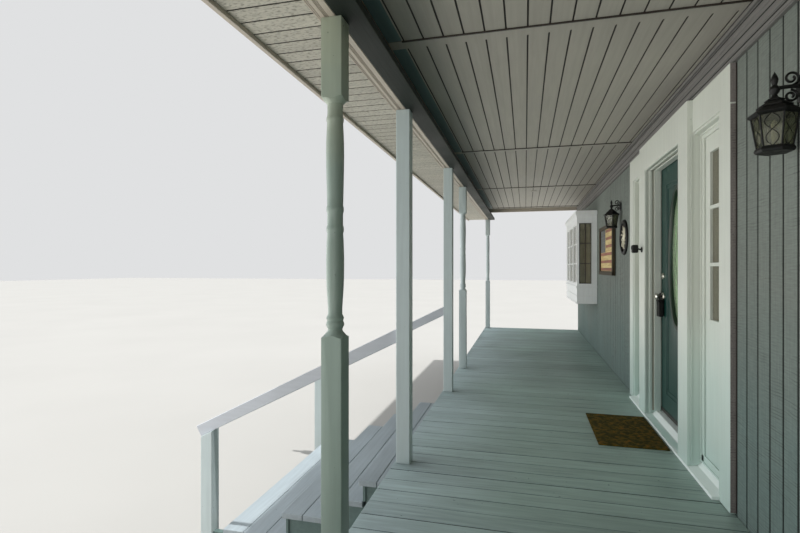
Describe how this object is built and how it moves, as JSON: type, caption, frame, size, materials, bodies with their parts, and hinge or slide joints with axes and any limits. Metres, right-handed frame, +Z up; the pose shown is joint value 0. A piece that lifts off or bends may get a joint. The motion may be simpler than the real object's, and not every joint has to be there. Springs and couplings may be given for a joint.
{
  "type": "front porch with entrance wall",
  "caption": "Roofed timber front porch on a house wall, with a boarded deck, a stair with handrails, posts, a flat ceiling and an entrance door between sidelights.",
  "frame": {"origin": "ground level under the siding's outer face, in the middle of the porch, on the underside of the foundation wall", "axes": "+X along the house towards the near end in the picture, +Y into the house, +Z up"},
  "size_m": [12.95, 3.506, 3.8747],
  "materials": {
    "concrete": "rough",
    "framing_timber": "sawn",
    "deck_paint": "satin paint",
    "white_paint": "semi-gloss paint",
    "post_paint": "satin paint",
    "grey_paint": "flat paint",
    "siding_paint": "flat paint",
    "dark_paint": "satin paint",
    "door_paint": "satin paint",
    "clear_glass": "clear",
    "dark_metal": "satin",
    "plaster": "flat",
    "shingle": "granular"
  },
  "bodies": {
    "porch": {"foundation_wall": "concrete", "sill_beam": "framing_timber", "deck_piers": "concrete", "deck_bearers": "framing_timber", "deck_ledger": "framing_timber", "deck_joists": "framing_timber", "deck_rim": "deck_paint", "deck_floor": "deck_paint", "stair_stringers": "deck_paint", "stair_risers": "deck_paint", "tread_1": "deck_paint", "tread_2": "deck_paint", "tread_3": "deck_paint", "tread_4": "deck_paint", "newel_far": "post_paint", "newel_near": "post_paint", "handrail_far": "post_paint", "handrail_near": "post_paint", "wall_far": "plaster", "wall_near": "plaster", "wall_over_door": "plaster", "siding": "siding_paint", "door_frame": "white_paint", "door_sill": "white_paint", "door_casing": "white_paint", "sidelight_far": "white_paint", "sidelight_near": "white_paint", "door_hinges": "dark_metal", "bay_window_far": "white_paint", "bay_window_near": "white_paint", "bay_glass": "clear_glass", "post_far_end": "post_paint", "post_far_inner": "post_paint", "post_stair_far": "post_paint", "post_stair_near": "post_paint", "post_near_inner": "post_paint", "post_near_end": "post_paint", "porch_beam": "dark_paint", "beam_trim": "post_paint", "ceiling": "grey_paint", "frieze_board": "grey_paint", "soffit": "grey_paint", "fascia": "post_paint", "roof_rafters": "framing_timber", "roof_deck": "framing_timber", "roof_shingles": "shingle", "gable_ends": "post_paint", "lanterns": "dark_metal"},
    "front_door": {"door_leaf": "door_paint", "door_glass": "clear_glass", "door_handle": "dark_metal"}
  },
  "joints": [
    {"name": "front_door_hinge", "type": "hinge", "parent": "porch", "child": "front_door", "pos_m": [0.4205, 0.127, 0], "axis": [0, 0, 1], "range_deg": [-95, 0]}
  ]
}
